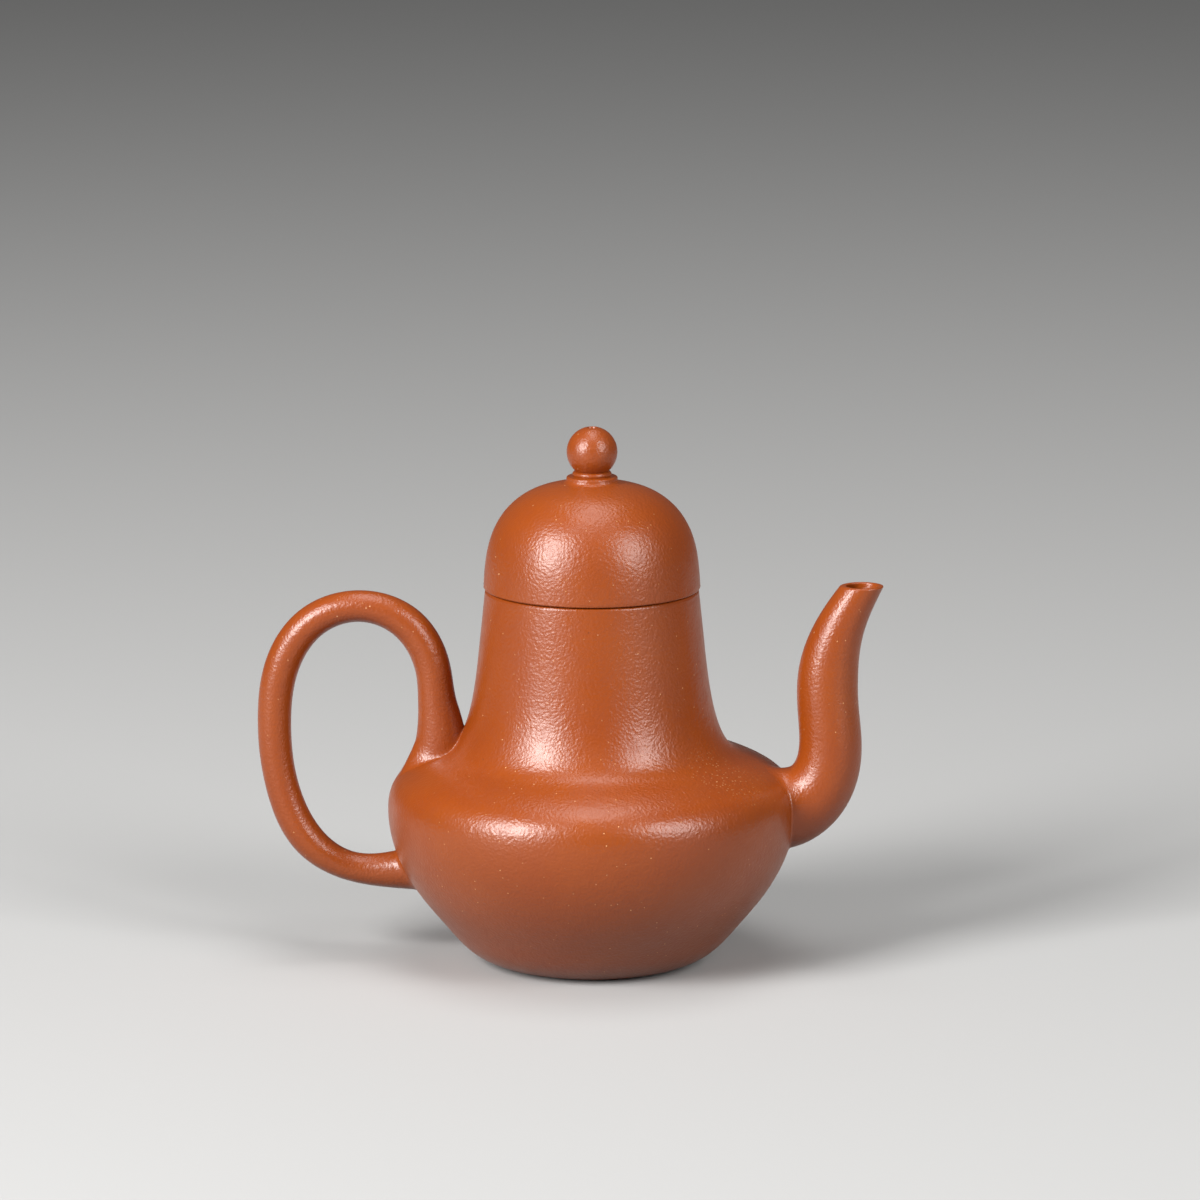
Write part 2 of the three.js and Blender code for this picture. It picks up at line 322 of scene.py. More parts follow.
def grid_faces(rows, sides, wrap_rows):
    """Faces of a grid that closes round its sides, and from its last row to its first if asked."""
    faces = []
    for i in range(rows if wrap_rows else rows - 1):
        low, high = i * sides, ((i + 1) % rows) * sides
        for j in range(sides):
            k = (j + 1) % sides
            faces.append((low + j, low + k, high + k, high + j))
    return faces


def turn_ring(profile, sides=TURN_SIDES):
    """Vertices and faces of a ring turned about Z, from a profile up its outside and down its inside."""
    angle = 2 * np.pi * np.arange(sides) / sides
    vertices = [
        np.column_stack([r * np.cos(angle), r * np.sin(angle), np.full(sides, z)])
        for r, z in profile
    ]
    return np.vstack(vertices), grid_faces(len(profile), sides, True)


def turn_disc(profile, sides=TURN_SIDES):
    """As turn_ring, for a profile that starts and ends on the axis."""
    vertices, _ = turn_ring(profile[1:-1], sides)
    rows = len(profile) - 2
    faces = grid_faces(rows, sides, False)
    bottom, top = len(vertices), len(vertices) + 1
    last = (rows - 1) * sides
    for j in range(sides):
        k = (j + 1) % sides
        faces.append((bottom, k, j))
        faces.append((top, last + j, last + k))
    ends = [[0, 0, profile[0][1]], [0, 0, profile[-1][1]]]
    return np.vstack([vertices, ends]), faces


def soften(made, depth, skin=None, angle=35):
    """Smooth shading with sharp edges kept, and the hand's unevenness, which fades out at the floor."""
    mesh = made.data
    mesh.shade_smooth()
    mesh.set_sharp_from_angle(angle=math.radians(angle))
    places = triples(mesh.vertices, "co") / MM
    calm = np.clip(places[:, 2] / CALM_HEIGHT, 0, 1)
    height, slope = unevenness(places, depth)
    if skin is None:
        push_sideways(mesh, places, height * calm)
    else:
        follow_skin(mesh, places, height * calm, slope * calm[:, None], skin)


def triples(items, name):
    """A property of a mesh's items that has three numbers, as one row for each item."""
    values = np.empty(len(items) * 3)
    items.foreach_get(name, values)
    return values.reshape(-1, 3)


def place_vertices(mesh, places):
    mesh.vertices.foreach_set("co", (places * MM).ravel())
    mesh.update()


def push_sideways(mesh, places, height):
    """Moves points level, out of or into their surface, and leaves level faces as they are."""
    normals = triples(mesh.vertices, "normal")
    level = np.abs(normals[:, 2]) > 0.999
    out = unit(normals * (1, 1, 0))
    place_vertices(mesh, places + np.where(level, 0, height)[:, None] * out)


def follow_skin(mesh, places, height, slope, skin):
    """Moves a turned piece's outer points by the unevenness, and gives them the whole pot's direction.

    So the light runs evenly over the joints from one turned piece to the next.
    """
    radius = np.hypot(places[:, 0], places[:, 1])
    near = np.abs(radius - np.interp(places[:, 2], skin[:, 1], skin[:, 0])) < 0.02
    away = places[:, :2] / np.maximum(radius, 1e-6)[:, None]
    along = unit(np.gradient(skin, axis=0))
    out_r = np.interp(places[:, 2], skin[:, 1], along[:, 1])
    out_z = np.interp(places[:, 2], skin[:, 1], -along[:, 0])
    true = np.column_stack([away * out_r[:, None], out_z])
    places[near] += true[near] * height[near, None]
    place_vertices(mesh, places)
    true = unit(true - slope + (slope * true).sum(axis=1, keepdims=True) * true)
    loops = np.empty(len(mesh.loops), np.int32)
    mesh.loops.foreach_get("vertex_index", loops)
    shown = triples(mesh.corner_normals, "vector")
    owner = np.repeat(np.arange(len(mesh.polygons)), [face.loop_total for face in mesh.polygons])
    facing = triples(mesh.polygons, "normal")[owner]
    on_skin = near[loops] & ((facing * true[loops]).sum(axis=1) > 0.9)
    shown[on_skin] = true[loops][on_skin]
    mesh.normals_split_custom_set(shown.tolist())


def bored(made, cutters):
    """Cuts closed shapes out of a piece for good."""
    for cutter in cutters:
        cut = made.modifiers.new("bore", "BOOLEAN")
        cut.operation = "DIFFERENCE"
        cut.solver = "EXACT"
        cut.object = cutter
    bpy.context.view_layer.update()
    graph = bpy.context.evaluated_depsgraph_get()
    mesh = bpy.data.meshes.new_from_object(made.evaluated_get(graph))
    made.modifiers.clear()
    old = made.data
    made.data = mesh
    bpy.data.meshes.remove(old)
    for cutter in cutters:
        bpy.data.objects.remove(cutter)


def rod_along_x(radius, start, end, y, z, sides=48):
    """A closed rod to cut a round hole with."""
    angle = 2 * np.pi * np.arange(sides) / sides
    rings = [
        np.column_stack([np.full(sides, x), y + radius * np.cos(angle), z + radius * np.sin(angle)])
        for x in (start, end)
    ]
    faces = grid_faces(2, sides, False)
    faces.append(tuple(reversed(range(sides))))
    faces.append(tuple(range(sides, 2 * sides)))
    return make_object("rod", np.vstack(rings), faces)


def pot_normal(points):
    """The outward direction of the pot's surface nearest each point."""
    step = 0.02
    slope = [gap_to_pot(points + step * way) - gap_to_pot(points - step * way) for way in np.eye(3)]
    return unit(np.stack(slope, axis=-1))


def sunk(points, depth):
    """Points moved straight in or out until they lie at a depth under the pot's surface."""
    for _ in range(3):
        points = points - pot_normal(points) * (gap_to_pot(points) + depth)[..., None]
    return points


class Limb:
    """A clay limb of oval sections drawn along a line in the XZ plane, its wall thinner towards its end."""

    def __init__(self, line, taper=0.0, sides=LIMB_SIDES):
        self.line = Spline(line)
        self.taper = taper
        self.angle = 2 * np.pi * np.arange(sides) / sides
        self.sides = sides

    def place(self, share, thinner=0.0):
        """Points for a table of shares along the line, with one column for each side."""
        row = self.line(share)
        way = self.line.direction(share)
        inset = thinner * (1 - self.taper * share)
        wide = (row[..., 2] - inset) * np.cos(self.angle)
        deep = (row[..., 3] - inset) * np.sin(self.angle)
        offset = np.stack([way[..., 1] * wide, deep, -way[..., 0] * wide], axis=-1)
        centre = np.stack([row[..., 0], np.zeros(share.shape), row[..., 1]], axis=-1)
        return centre + offset

    def table(self, shares, thinner=0.0):
        return self.place(np.repeat(shares[:, None], self.sides, axis=1), thinner)

    def _first(self, reached, shares):
        """For each side, the share at which a rising test value first passes zero."""
        index = np.clip(np.argmax(reached > 0, axis=0), 1, None)
        column = np.arange(self.sides)
        low, high = reached[index - 1, column], reached[index, column]
        part = np.clip(-low / np.where(high == low, 1, high - low), 0, 1)
        return shares[index - 1] + (shares[index] - shares[index - 1]) * part

    def root_shares(self, backwards):
        """Shares over the third of the limb next to its root, which is its other end if drawn backwards."""
        shares = np.linspace(0, 0.3, 260)
        return 1 - shares if backwards else shares

    def leaves_pot(self, depth, thinner=0.0, backwards=False):
        """For each side, where the limb comes out of the pot's wall, less a depth left in the wall."""
        shares = self.root_shares(backwards)
        return self._first(gap_to_pot(self.table(shares, thinner)) + depth, shares)

    def reaches(self, height, thinner=0.0):
        """For each side, where the limb rises past a height."""
        shares = np.linspace(0.6, 1, 400)
        return self._first(self.table(shares, thinner)[..., 2] - height, shares)

    def fillet(self, least, most, edge, rise=1.0, backwards=False, steps=10):
        """Where each side leaves the fillet at a root, and the fillet's rows from the limb into the wall.

        Its width grows from least on the first side to most opposite, and it goes rise times as far up the
        limb. The edge that it ends with on the pot is sharper the nearer its last value is to one.
        """
        width = least + (most - least) * ((1 - np.cos(self.angle)) / 2) ** 4
        shares = self.root_shares(backwards)
        foot = self.leaves_pot(0, backwards=backwards)
        meets = self.place(foot)
        step = -0.002 if backwards else 0.002
        along = unit(self.place(foot + step) - meets)
        round_ = unit(np.roll(meets, -1, axis=0) - np.roll(meets, 1, axis=0))
        limb_out = unit(np.cross(round_, along))
        centre = self.line(foot)
        middle = np.stack([centre[:, 0], np.zeros(self.sides), centre[:, 1]], axis=-1)
        limb_out *= np.sign(((meets - middle) * limb_out).sum(axis=-1, keepdims=True))
        pot_out = pot_normal(meets)
        facing = (limb_out * pot_out).sum(axis=-1, keepdims=True)
        up_limb = unit(pot_out - facing * limb_out)
        over_pot = unit(limb_out - facing * pot_out)
        climb = ((self.table(shares) - meets) * up_limb).sum(axis=-1) - width * rise
        passed = shares[:, None] > foot if backwards else shares[:, None] < foot
        start = self._first(np.where(passed, -width, climb), shares)
        high = self.place(start)
        low = sunk(meets + over_pot * width[:, None], 0)
        bend = meets + (high - meets) * edge
        t = np.linspace(0, 1, steps)[1:, None, None]
        rows = (1 - t) ** 2 * high + 2 * t * (1 - t) * bend + t ** 2 * low
        return start, [*rows, sunk(low - over_pot * 0.1, BURIED)]

    def rows(self, start, end, spread, thinner=0.0):
        """Rows of points from each side's start to its end."""
        return list(self.place(start + (end - start) * spread[:, None], thinner))


def closed_in_wall(ring, steps=5):
    """Rows that close a root inside the pot's wall, from its ring to its middle."""
    middle = sunk(ring.mean(axis=0, keepdims=True), BURIED)
    shares = np.linspace(0, 1, steps + 1)[1:-1]
    return [sunk(ring * (1 - share) + middle * share, BURIED) for share in shares]


class Wire:
    """An output socket that takes part in arithmetic: each operator adds one Math node."""

    def __init__(self, shader, socket):
        self.shader = shader
        self.socket = socket

    def _math(self, operation, first, second):
        return self.shader.node("ShaderNodeMath", {"operation": operation}, {0: first, 1: second})

    def __add__(self, other):
        return self._math("ADD", self, other)

    def __sub__(self, other):
        return self._math("SUBTRACT", self, other)

    def __mul__(self, other):
        return self._math("MULTIPLY", self, other)

    def __truediv__(self, other):
        return self._math("DIVIDE", self, other)

    def __lt__(self, other):
        return self._math("LESS_THAN", self, other)

    def __gt__(self, other):
        return self._math("GREATER_THAN", self, other)

    def __radd__(self, other):
        return self._math("ADD", other, self)

    def __rsub__(self, other):
        return self._math("SUBTRACT", other, self)

    def __rmul__(self, other):
        return self._math("MULTIPLY", other, self)

    def __rtruediv__(self, other):
        return self._math("DIVIDE", other, self)


class Shader:
    """The node tree of a material or a world, and the one method that adds a node to it."""

    def __init__(self, owner):
        owner.use_nodes = True
        self.owner = owner
        self.tree = owner.node_tree
        self.tree.nodes.clear()

    def node(self, kind, settings=None, inputs=None, output=0):
        """Adds a node with its settings and then its inputs, and gives the wire of one of its outputs."""
        made = self.tree.nodes.new(kind)
        for key, value in (settings or {}).items():
            if key == "stops":
                self._set_stops(made.color_ramp, value)
            else:
                setattr(made, key, value)
        for key, value in (inputs or {}).items():
            if isinstance(value, Wire):
                self.tree.links.new(value.socket, made.inputs[key])
            else:
                made.inputs[key].default_value = value
        return Wire(self, made.outputs[output]) if len(made.outputs) else made

    def _set_stops(self, ramp, stops):
        while len(ramp.elements) > 1:
            ramp.elements.remove(ramp.elements[-1])
        for i, (place, value) in enumerate(stops):
            element = ramp.elements[0] if i == 0 else ramp.elements.new(place)
            element.position = place
            element.color = (value, value, value, 1)

    def seen(self):
        """One for the rays that show a surface to the eye, nought for those that only light others."""
        rays = [
            self.node("ShaderNodeLightPath", None, None, output=name)
            for name in ("Is Camera Ray", "Is Glossy Ray", "Is Transmission Ray")
        ]
        return rays[0] + rays[1] + rays[2]

    def blend(self, share, first, second):
        """Colours mixed by a share."""
        return self.node("ShaderNodeMix", {"data_type": "RGBA"}, {0: share, 6: first, 7: second}, output=2)

    def noise(self, where, scale, detail=2.0, roughness=0.5):
        return self.node(
            "ShaderNodeTexNoise",
            None,
            {"Vector": where, "Scale": scale, "Detail": detail, "Roughness": roughness},
        )

    def cells(self, where, scale):
        """Distance from the nearest of many scattered points."""
        return self.node("ShaderNodeTexVoronoi", None, {"Vector": where, "Scale": scale, "Randomness": 1.0})

    def near(self, where, centre, reach):
        """One at a place, falling to nought at its reach."""
        away = self.node(
            "ShaderNodeVectorMath", {"operation": "DISTANCE"}, {0: where, 1: centre}, output="Value"
        )
        return self.ramp(away / reach, (0.1, 1.0), (1.0, 0.0))

    def ramp(self, value, *stops):
        return self.node("ShaderNodeValToRGB", {"stops": stops}, {0: value})


def clay(name, colours, rough, grain):
    """Fired, burnished clay: mottled colour, pale sand grains, small pits and a fine pear skin."""
    shader = Shader(bpy.data.materials.new(name))
    where = shader.node("ShaderNodeTexCoord", None, None, output="Object")
    cloud = shader.ramp(shader.noise(where, CLOUDS, 3), (0.35, 0.0), (0.68, 1.0))
    mottle = shader.ramp(shader.noise(where, MOTTLE, 3, 0.6), (0.3, 0.0), (0.75, 1.0))
    colour = shader.blend(cloud * 0.55, tuple(colours.body), tuple(colours.warm))
    colour = shader.blend(mottle * 0.30, colour, tuple(colours.deep))
    patches = shader.ramp(shader.noise(where, SAND_PATCHES, 1), (0.5, 0.0), (0.62, 1.0))
    sandy_spot = shader.near(where, SANDY_SPOT, SANDY_REACH)
    loose = (shader.cells(where, LOOSE_SAND) < 0.07) * (patches * 0.6 + 0.4)
    dense = (shader.cells(where, DENSE_SAND) < 0.17) * sandy_spot
    sand = loose + dense
    colour = shader.blend(sand * 0.8, colour, tuple(colours.sand))
    pits = shader.cells(where, PITS) < 0.03
    colour = shader.blend(pits * 0.7, colour, tuple(colours.pit))
    skin = shader.noise(where, SKIN, 1.5)
    wrinkle = shader.noise(where, WRINKLES, 1.5)
    swell = shader.noise(where, SWELLS, 1.5)
    height = skin * 0.6 + wrinkle * 0.5 + swell * 0.3 + sand * 0.25 - pits * 1.2
    bump = shader.node("ShaderNodeBump", None, {"Strength": 1.0, "Distance": grain, "Height": height})
    finish = rough + (mottle - 0.5) * 0.08 + sand * 0.1
    surface = shader.node(
        "ShaderNodeBsdfPrincipled",
        None,
        {
            "Base Color": colour,
            "Roughness": finish,
            "Normal": bump,
            "IOR": 1.6,
            "Specular Tint": tuple(colours.gloss),
        },
    )
    shader.node("ShaderNodeOutputMaterial", None, {"Surface": surface})
    return shader.owner


def floor_paper(colours):
    """An even matt paper that shows its pale colour and throws a calmer light back at the pot."""
    shader = Shader(bpy.data.materials.new("floor_paper"))
    colour = shader.blend(shader.seen(), tuple(colours.floor_bounce), tuple(colours.floor))
    surface = shader.node("ShaderNodeBsdfPrincipled", None, {"Base Color": colour, "Roughness": 0.9})
    shader.node("ShaderNodeOutputMaterial", None, {"Surface": surface})
    return shader.owner


class ClaySizes(bpy.types.PropertyGroup):
    """Sizes of the teapot's clay."""

    wall: bpy.props.FloatProperty(
        name="Wall", description="Thickness of the pot's and the lid's wall", default=0.0025,
        subtype="DISTANCE",
    )
    neck_bore: bpy.props.FloatProperty(
        name="Neck bore", description="Radius of the bore that takes the lid", default=0.0159,
        subtype="DISTANCE",
    )
    flange_play: bpy.props.FloatProperty(
        name="Flange play", description="Gap between the lid's flange and the bore", default=0.00025,
        subtype="DISTANCE",
    )
    flange_wall: bpy.props.FloatProperty(
        name="Flange wall", description="Thickness of the lid's flange", default=0.0022, subtype="DISTANCE"
    )
    steam_hole: bpy.props.FloatProperty(
        name="Steam hole", description="Radius of the hole through the knob", default=0.0008,
        subtype="DISTANCE",
    )
    edge_round: bpy.props.FloatProperty(
        name="Edge rounding", description="Radius of the worked edges at rim and lid", default=0.00045,
        subtype="DISTANCE", precision=5,
    )
    seam_gap: bpy.props.FloatProperty(
        name="Seam gap", description="Gap between lid and rim at their outer edge", default=0.00015,
        subtype="DISTANCE", precision=5,
    )
    hand_depth: bpy.props.FloatProperty(
        name="Unevenness", description="Depth of the slow waves that the hand leaves", default=0.00002,
        subtype="DISTANCE", precision=5,
    )


class ClayColours(bpy.types.PropertyGroup):
    """Colours of the clay and the floor."""

    body: bpy.props.FloatVectorProperty(
        name="Body", description="Main colour of the fired clay", size=4, subtype="COLOR",
        default=(0.268, 0.046, 0.0021, 1.0),
    )
    warm: bpy.props.FloatVectorProperty(
        name="Warm", description="Lighter clouds in the clay", size=4, subtype="COLOR",
        default=(0.31, 0.0615, 0.0037, 1.0),
    )
    deep: bpy.props.FloatVectorProperty(
        name="Deep", description="Darker mottling in the clay", size=4, subtype="COLOR",
        default=(0.217, 0.0325, 0.0014, 1.0),
    )
    sand: bpy.props.FloatVectorProperty(
        name="Sand", description="Pale grains in the clay", size=4, subtype="COLOR",
        default=(0.75, 0.38, 0.17, 1.0),
    )
    pit: bpy.props.FloatVectorProperty(
        name="Pits", description="Small dark pits in the clay", size=4, subtype="COLOR",
        default=(0.16, 0.035, 0.01, 1.0),
    )
    gloss: bpy.props.FloatVectorProperty(
        name="Gloss", description="Tint of the burnished skin's shine", size=4, subtype="COLOR",
        default=(1.0, 0.98, 0.97, 1.0),
    )
    floor: bpy.props.FloatVectorProperty(
        name="Floor", description="Pale floor under the pot", size=4, subtype="COLOR",
        default=(0.46, 0.457, 0.45, 1.0),
    )
    floor_bounce: bpy.props.FloatVectorProperty(
        name="Floor bounce", description="Colour that the floor throws back on the pot", size=4,
        subtype="COLOR", default=(0.1, 0.1, 0.1, 1.0),
    )
    air: bpy.props.FloatVectorProperty(
        name="Air", description="Even grey light from the surroundings", size=4, subtype="COLOR",
        default=(0.1, 0.1, 0.1, 1.0),
    )


def settings():
    """The sizes in millimetres, by name, and the colours."""
    scene = bpy.context.scene
    names = ClaySizes.__annotations__
    return {name: getattr(scene.clay_sizes, name) / MM for name in names}, scene.clay_colours


def fired(made, body, slot, *nodes):
    """Gives a piece its clay and puts it on the body of the nodes that it stands for."""
    _, colours = settings()
    material = bpy.data.materials.get(slot + "_skin") or clay(slot + "_skin", colours, *FINISHES[slot])
    made.data.materials.clear()
    made.data.materials.append(material)
    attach(made, body)
    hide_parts(*nodes)


class TEAPOT_OT_base_plate(bpy.types.Operator):
    """Turn the flat disc that the belly stands on"""

    bl_idname = "teapot.base_plate"
    bl_label = "Base plate"

    def execute(self, context):
        size, _ = settings()
        edge = between(POT_SKIN, 0, BASE_THICKNESS)
        middle = 8
        profile = [[0, 0], [middle, 0], *edge, [middle, BASE_THICKNESS], [0, BASE_THICKNESS]]
        made = make_object("base_disc", *turn_disc(profile))
        soften(made, size["hand_depth"], POT_SKIN)
        fired(made, "pot", "pot_clay", "base_plate")
        return {"FINISHED"}


class TEAPOT_OT_belly(bpy.types.Operator):
    """Turn the belly's wall and bore the hole behind the spout"""

    bl_idname = "teapot.belly"
    bl_label = "Belly"

    def execute(self, context):
        size, _ = settings()
        inner = moved_in(POT_SKIN, size["wall"])
        outside = between(POT_SKIN, BASE_THICKNESS, SHOULDER_BOTTOM)
        inside = between(inner, BASE_THICKNESS, SHOULDER_BOTTOM)[::-1]
        made = make_object("belly_wall", *turn_ring(np.vstack([outside, inside])))
        bored(made, [rod_along_x(BORE_RADIUS, 28, 42, 0, BORE_HEIGHT)])
        soften(made, size["hand_depth"], POT_SKIN)
        fired(made, "pot", "pot_clay", "belly")
        return {"FINISHED"}


class TEAPOT_OT_shoulder(bpy.types.Operator):
    """Turn the disc that closes the belly above"""

    bl_idname = "teapot.shoulder"
    bl_label = "Shoulder"

    def execute(self, context):
        size, _ = settings()
        inner = moved_in(POT_SKIN, size["wall"])
        outside = between(POT_SKIN, SHOULDER_BOTTOM, NECK_BOTTOM)
        inside = between(inner, SHOULDER_BOTTOM, NECK_BOTTOM)[::-1]
        made = make_object("shoulder_disc", *turn_ring(np.vstack([outside, inside])))
        soften(made, size["hand_depth"], POT_SKIN)
        fired(made, "pot", "pot_clay", "shoulder")
        return {"FINISHED"}


class TEAPOT_OT_neck(bpy.types.Operator):
    """Turn the neck with its bore for the lid and its rounded rim"""

    bl_idname = "teapot.neck"
    bl_label = "Neck"

    def execute(self, context):
        size, _ = settings()
        bore, soft = size["neck_bore"], size["edge_round"]
        bore_bottom = RIM_HEIGHT - NECK_BORE_DEPTH
        rim = np.interp(RIM_HEIGHT, POT_SKIN[:, 1], POT_SKIN[:, 0])
        inner = moved_in(POT_SKIN, size["wall"])
        outside = between(POT_SKIN, NECK_BOTTOM, RIM_HEIGHT - soft)
        profile = np.vstack([
            outside,
            corner([rim - soft, RIM_HEIGHT - soft], soft, 15, 90),
            corner([bore + soft, RIM_HEIGHT - soft], soft, 90, 180),
            [[bore, bore_bottom]],
            between(inner, NECK_BOTTOM, bore_bottom - size["wall"])[::-1],
        ])
        made = make_object("neck_wall", *turn_ring(profile))
        soften(made, size["hand_depth"], POT_SKIN)
        fired(made, "pot", "pot_clay", "neck")
        return {"FINISHED"}


class TEAPOT_OT_strainer(bpy.types.Operator):
    """Shape the pierced cap inside the belly behind the spout"""

    bl_idname = "teapot.strainer"
    bl_label = "Strainer"

    def cap(self, radius, rise):
        """Rows from the cap's crown to the place where each side runs into the belly's wall."""
        angle = 2 * np.pi * np.arange(STRAINER_SIDES) / STRAINER_SIDES
        lift = np.linspace(np.pi / 2, 0, 24)
        over = np.column_stack([STRAINER_FOOT - rise * np.sin(lift), radius * np.cos(lift)])
        line = np.vstack([over, [[STRAINER_FOOT + 6, radius]]])
        path = Spline(line)(np.linspace(0, 1, 200))
        points = np.stack([
            np.repeat(path[:, :1], STRAINER_SIDES, axis=1),
            path[:, 1:] * np.cos(angle),
            BORE_HEIGHT + path[:, 1:] * np.sin(angle),
        ], axis=-1)
        buried = gap_to_pot(points) > -1.6
        last = np.where(buried.any(axis=0), buried.argmax(axis=0), len(path) - 1)
        rows = np.linspace(0.02, 1, 40)[:, None] * last
        low = np.floor(rows).astype(int)
        part = (rows - low)[..., None]
        column = np.arange(STRAINER_SIDES)
        high = np.minimum(low + 1, len(path) - 1)
        return points[low, column] * (1 - part) + points[high, column] * part

    def execute(self, context):
        outer = self.cap(STRAINER_RADIUS, STRAINER_RISE)
        inner = self.cap(STRAINER_RADIUS - STRAINER_WALL, STRAINER_RISE - STRAINER_WALL)
        rows = np.vstack([inner, outer[::-1]])
        vertices = rows.reshape(-1, 3)
        faces = grid_faces(len(rows), STRAINER_SIDES, False)
        faces.append(tuple(range(STRAINER_SIDES))[::-1])
        faces.append(tuple(range(len(vertices) - STRAINER_SIDES, len(vertices))))
        made = make_object("strainer_cap", vertices, faces)
        places = [(0, BORE_HEIGHT)]
        for i in range(STRAINER_RING_HOLES):
            turn = 2 * math.pi / STRAINER_RING_HOLES * i
            places.append((STRAINER_RING * math.sin(turn), BORE_HEIGHT + STRAINER_RING * math.cos(turn)))
        holes = [rod_along_x(STRAINER_HOLE, 24, STRAINER_FOOT, y, z, 20) for y, z in places]
        bored(made, holes)
        soften(made, 0.0)
        fired(made, "pot", "inside_clay", "strainer")
        return {"FINISHED"}


class TEAPOT_OT_spout(bpy.types.Operator):
    """Draw the hollow spout from its root in the belly to its mouth"""

    bl_idname = "teapot.spout"
    bl_label = "Spout"

    def execute(self, context):
        size, _ = settings()
        limb = Limb(SPOUT_LINE, taper=SPOUT_TAPER)
        lip_bottom = MOUTH_HEIGHT - MOUTH_LIP
        start, root = limb.fillet(0.35, 1.5, 0.22)
        outer = limb.rows(start, limb.reaches(lip_bottom), np.linspace(0, 1, 150))
        bore_start = limb.leaves_pot(BURIED, SPOUT_WALL)
        bore_end = limb.reaches(lip_bottom, SPOUT_WALL)
        bore = limb.rows(bore_start, bore_end, np.linspace(0, 1, 70), SPOUT_WALL)
        lean = outer[-1] - outer[-2]
        lean /= lean[:, 2:]
        rim = []
        for turn in np.linspace(0, math.pi, 13)[1:-1]:
            across = (1 - math.cos(turn)) / 2
            rise = MOUTH_LIP * math.sin(turn) ** 0.6
            rim.append(outer[-1] * (1 - across) + bore[-1] * across + lean * rise)
        rows = [*root[::-1], *outer, *rim, *bore[::-1]]
        faces = grid_faces(len(rows), limb.sides, True)
        made = make_object("spout_skin", np.vstack(rows), faces)
        soften(made, size["hand_depth"], angle=60)
        fired(made, "pot", "pot_clay", "spout")
        return {"FINISHED"}


class TEAPOT_OT_handle(bpy.types.Operator):
    """Draw the solid loop handle from the shoulder round to the belly"""

    bl_idname = "teapot.handle"
    bl_label = "Handle"

    def execute(self, context):
        size, _ = settings()
        limb = Limb(HANDLE_LINE)
        start, top_root = limb.fillet(0.4, 2.3, 0.16, rise=2.4)
        end, low_root = limb.fillet(1.6, 0.8, 0.0, backwards=True)
        loop = limb.rows(start, end, np.linspace(0, 1, 320))
        rows = [*closed_in_wall(top_root[-1])[::-1], *top_root[::-1], *loop, *low_root,
                *closed_in_wall(low_root[-1])]
        faces = grid_faces(len(rows), limb.sides, False)
        faces.append(tuple(range(limb.sides))[::-1])
        faces.append(tuple(range((len(rows) - 1) * limb.sides, len(rows) * limb.sides)))
        made = make_object("handle_loop", np.vstack(rows), faces)
        soften(made, size["hand_depth"], angle=60)
        fired(made, "pot", "pot_clay", "handle")
        return {"FINISHED"}


class TEAPOT_OT_lid(bpy.types.Operator):
    """Turn the lid's plate, dome and flange"""

    bl_idname = "teapot.lid"
    bl_label = "Lid"

    def execute(self, context):
        size, _ = settings()
        soft = size["edge_round"]
        flange_outer = size["neck_bore"] - size["flange_play"]
        flange_inner = flange_outer - size["flange_wall"]
        plate_top = RIM_HEIGHT + PLATE_THICKNESS
        edge = LID_SKIN[0, 0]
        gap = size["seam_gap"]
        plate = np.vstack([
            [[flange_inner, RIM_HEIGHT]],
            [[edge - SEAM_DEPTH, RIM_HEIGHT]],
            [[edge - SEAM_DEPTH + 0.3, RIM_HEIGHT + gap]],
            corner([edge - soft, RIM_HEIGHT + gap + soft], soft, -90, 0),
            between(LID_SKIN, RIM_HEIGHT + gap + 2 * soft, plate_top),
            [[flange_inner, plate_top]],
        ])
        made = make_object("lid_plate_ring", *turn_ring(plate))
        soften(made, size["hand_depth"], LID_SKIN)
        fired(made, "lid", "lid_clay", "lid_plate")

        hole = size["steam_hole"]
        inner = moved_in(LID_SKIN, size["wall"])
        crown = LID_SKIN[-1, 1]
        dome = np.vstack([
            between(LID_SKIN, plate_top, crown),
            [[2.6, COLLAR_BOTTOM]],
            [[hole, COLLAR_BOTTOM]],
            [[hole, crown - size["wall"]]],
            between(inner, plate_top, crown - size["wall"] - 0.3)[::-1],
        ])
        made = make_object("lid_dome_shell", *turn_ring(dome))
        soften(made, size["hand_depth"], LID_SKIN)
        fired(made, "lid", "lid_clay", "lid_dome")

        bottom, top = RIM_HEIGHT - FLANGE_DEPTH, RIM_HEIGHT - TURNING_PLAY
        ring = np.vstack([
            corner([flange_outer - soft, bottom + soft], soft, -90, 0),
            [[flange_outer, top]],
            [[flange_inner, top]],
            corner([flange_inner + FLANGE_DRAFT + soft, bottom + soft], soft, 180, 270),
        ])
        made = make_object("lid_flange_ring", *turn_ring(ring))
        soften(made, 0.0)
        fired(made, "lid_ring", "inside_clay", "lid_flange")
        return {"FINISHED"}


